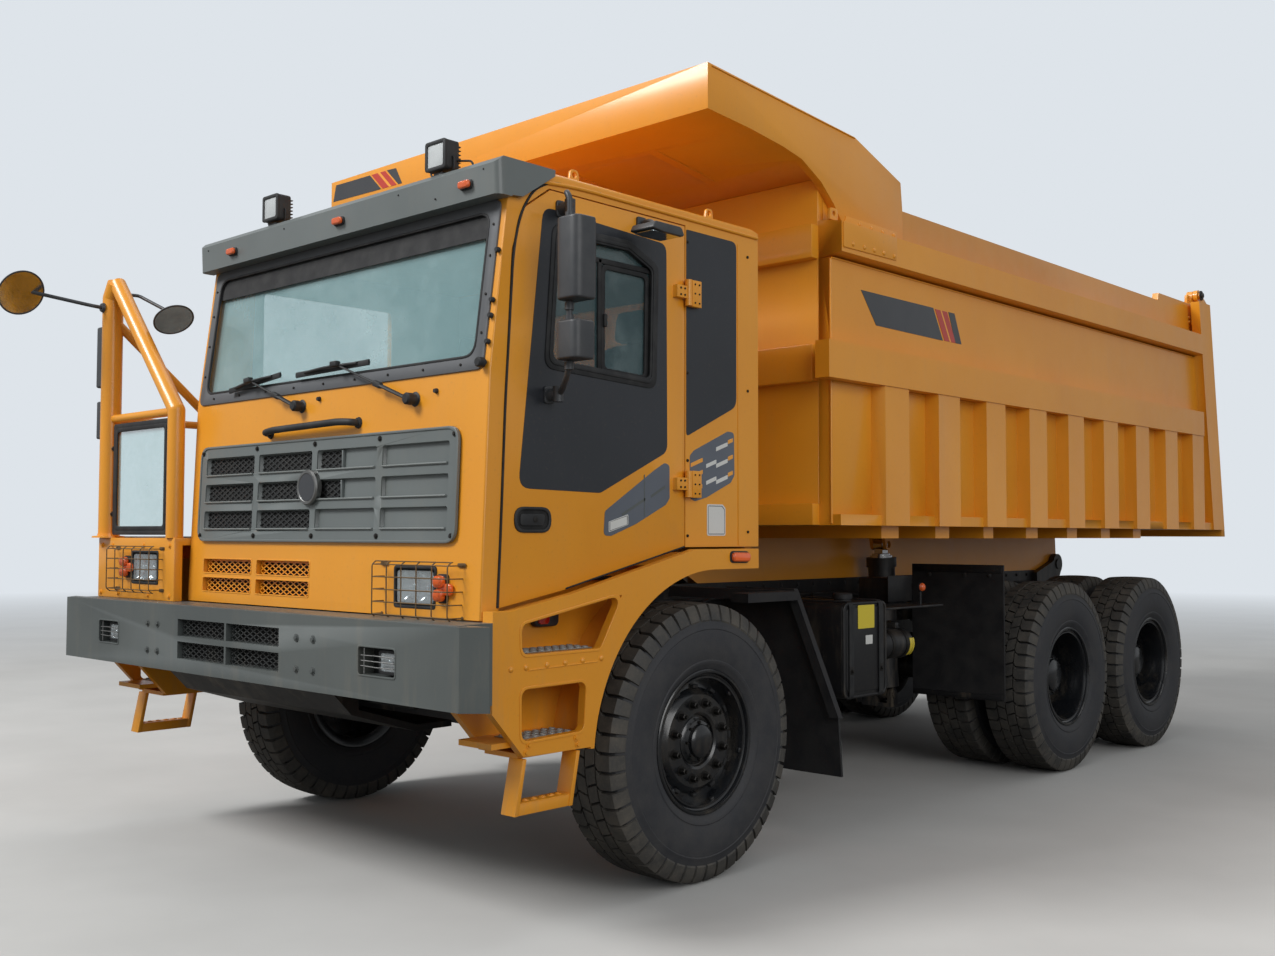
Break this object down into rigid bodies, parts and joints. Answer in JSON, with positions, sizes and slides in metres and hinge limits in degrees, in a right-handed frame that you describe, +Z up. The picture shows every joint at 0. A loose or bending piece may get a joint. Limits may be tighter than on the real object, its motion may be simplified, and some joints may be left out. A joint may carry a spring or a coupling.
{
  "type": "mining dump truck",
  "caption": "Heavy off-road tipper with an offset cab, ribbed hinged bed under a canopy, top-hung tailgate, single steered front wheels and twin driven rear wheels.",
  "frame": {"origin": "on the ground under the middle of the truck's outer box, mirrors included", "axes": "+X to the truck's left, +Y to its rear, +Z up"},
  "size_m": [3.92, 9.1959, 4.078],
  "materials": {
    "yellow_paint": "semi-gloss",
    "grey_paint": "semi-gloss",
    "black_paint": "satin",
    "rim_black": "satin",
    "tyre_rubber": "matte",
    "pane_glass": "clear",
    "seat_cloth": "woven",
    "dark_plastic": "matte",
    "lamp_lens": "clear",
    "mirror_shell": "gloss",
    "flap_rubber": "matte",
    "engine_grey": "cast",
    "hoist_chrome": "polished"
  },
  "bodies": {
    "chassis": {"air_tanks": "black_paint", "battery_box": "black_paint", "bogie_springs": "black_paint", "cab_back_wall": "yellow_paint", "cab_floor": "yellow_paint", "cab_front_panel": "yellow_paint", "cab_left_side": "yellow_paint", "cab_right_side": "yellow_paint", "cab_roof": "yellow_paint", "cab_seats": "seat_cloth", "chassis_frame": "black_paint", "dashboard": "dark_plastic", "driven_axles": "black_paint", "engine_block": "engine_grey", "front_axle": "black_paint", "front_bumper": "grey_paint", "front_grille": "grey_paint", "front_springs": "black_paint", "fuel_tank": "black_paint", "glass_panes": "pane_glass", "guard_frame": "yellow_paint", "ladders": "yellow_paint", "lamps": "lamp_lens", "left_fender": "yellow_paint", "mud_guards": "flap_rubber", "prop_shafts": "black_paint", "right_fender": "yellow_paint", "right_mirrors": "mirror_shell", "right_platform": "yellow_paint", "skid_plate": "black_paint", "sun_visor": "grey_paint", "tail_lamp_bar": "black_paint"},
    "door": {"cab_door": "yellow_paint", "door_window": "pane_glass", "left_mirrors": "mirror_shell"},
    "bed": {"bed_floor": "yellow_paint", "bed_front_wall": "yellow_paint", "bed_canopy": "yellow_paint", "bed_side_left": "yellow_paint", "bed_side_right": "yellow_paint"},
    "tailgate": {"tailgate": "yellow_paint"},
    "knuckle_left": {"knuckle_left": "black_paint"},
    "knuckle_right": {"knuckle_right": "black_paint"},
    "front_wheel_left": {"front_tyre_left": "tyre_rubber", "front_rim_left": "rim_black"},
    "front_wheel_right": {"front_tyre_right": "tyre_rubber", "front_rim_right": "rim_black"},
    "mid_wheels_left": {"mid_tyres_left": "tyre_rubber", "mid_rims_left": "rim_black"},
    "mid_wheels_right": {"mid_tyres_right": "tyre_rubber", "mid_rims_right": "rim_black"},
    "rear_wheels_left": {"rear_tyres_left": "tyre_rubber", "rear_rims_left": "rim_black"},
    "rear_wheels_right": {"rear_tyres_right": "tyre_rubber", "rear_rims_right": "rim_black"},
    "hoist_barrels": {"hoist_barrels": "black_paint"},
    "hoist_stage_1": {"hoist_stage_1": "hoist_chrome"},
    "hoist_stage_2": {"hoist_stage_2": "hoist_chrome"},
    "hoist_rods": {"hoist_rods": "hoist_chrome"}
  },
  "joints": [
    {"name": "steer_left", "type": "hinge", "parent": "chassis", "child": "knuckle_left", "pos_m": [1.215, -2.50902, 0.685], "axis": [0, 0, 1], "range_deg": [-32, 32]},
    {"name": "steer_right", "type": "hinge", "parent": "chassis", "child": "knuckle_right", "pos_m": [-1.215, -2.50902, 0.685], "axis": [0, 0, 1], "range_deg": [-32, 32]},
    {"name": "front_spin_left", "type": "hinge", "parent": "knuckle_left", "child": "front_wheel_left", "pos_m": [1.462, -2.50902, 0.685], "axis": [1, 0, 0], "continuous": true},
    {"name": "front_spin_right", "type": "hinge", "parent": "knuckle_right", "child": "front_wheel_right", "pos_m": [-1.462, -2.50902, 0.685], "axis": [1, 0, 0], "continuous": true},
    {"name": "mid_spin_left", "type": "hinge", "parent": "chassis", "child": "mid_wheels_left", "pos_m": [1.207, 1.62098, 0.685], "axis": [1, 0, 0], "continuous": true},
    {"name": "mid_spin_right", "type": "hinge", "parent": "chassis", "child": "mid_wheels_right", "pos_m": [-1.207, 1.62098, 0.685], "axis": [1, 0, 0], "continuous": true},
    {"name": "rear_spin_left", "type": "hinge", "parent": "chassis", "child": "rear_wheels_left", "pos_m": [1.207, 3.14798, 0.685], "axis": [1, 0, 0], "continuous": true},
    {"name": "rear_spin_right", "type": "hinge", "parent": "chassis", "child": "rear_wheels_right", "pos_m": [-1.207, 3.14798, 0.685], "axis": [1, 0, 0], "continuous": true},
    {"name": "door_open", "type": "hinge", "parent": "chassis", "child": "door", "pos_m": [1.644, -2.66402, 2.4], "axis": [0, 0, 1], "range_deg": [0, 70]},
    {"name": "bed_tilt", "type": "hinge", "parent": "chassis", "child": "bed", "pos_m": [0, 3.79098, 1.45], "axis": [-1, 0, 0], "range_deg": [0, 45]},
    {"name": "gate_swing", "type": "hinge", "parent": "bed", "child": "tailgate", "pos_m": [0, 4.10098, 3.8], "axis": [1, 0, 0], "range_deg": [0, 60]},
    {"name": "hoist_swing", "type": "hinge", "parent": "chassis", "child": "hoist_barrels", "pos_m": [0.64, 0.69098, 0.56], "axis": [-1, 0, 0], "range_deg": [0, 20.16]},
    {"name": "hoist_slide_1", "type": "slide", "parent": "hoist_barrels", "child": "hoist_stage_1", "axis": [0, -0.0462, 0.9989], "range_m": [0, 0.7763]},
    {"name": "hoist_slide_2", "type": "slide", "parent": "hoist_stage_1", "child": "hoist_stage_2", "axis": [0, -0.0462, 0.9989], "range_m": [0, 0.7763]},
    {"name": "hoist_slide_3", "type": "slide", "parent": "hoist_stage_2", "child": "hoist_rods", "axis": [0, -0.0462, 0.9989], "range_m": [0, 0.7763]}
  ],
  "couplings": [
    {"joint": "steer_right", "follows": "steer_left", "ratio": 1},
    {"joint": "hoist_swing", "follows": "bed_tilt", "ratio": 0.44126},
    {"joint": "hoist_slide_1", "follows": "bed_tilt", "m_per_rad": 0.98588},
    {"joint": "hoist_slide_2", "follows": "bed_tilt", "m_per_rad": 0.98588},
    {"joint": "hoist_slide_3", "follows": "bed_tilt", "m_per_rad": 0.98588}
  ]
}
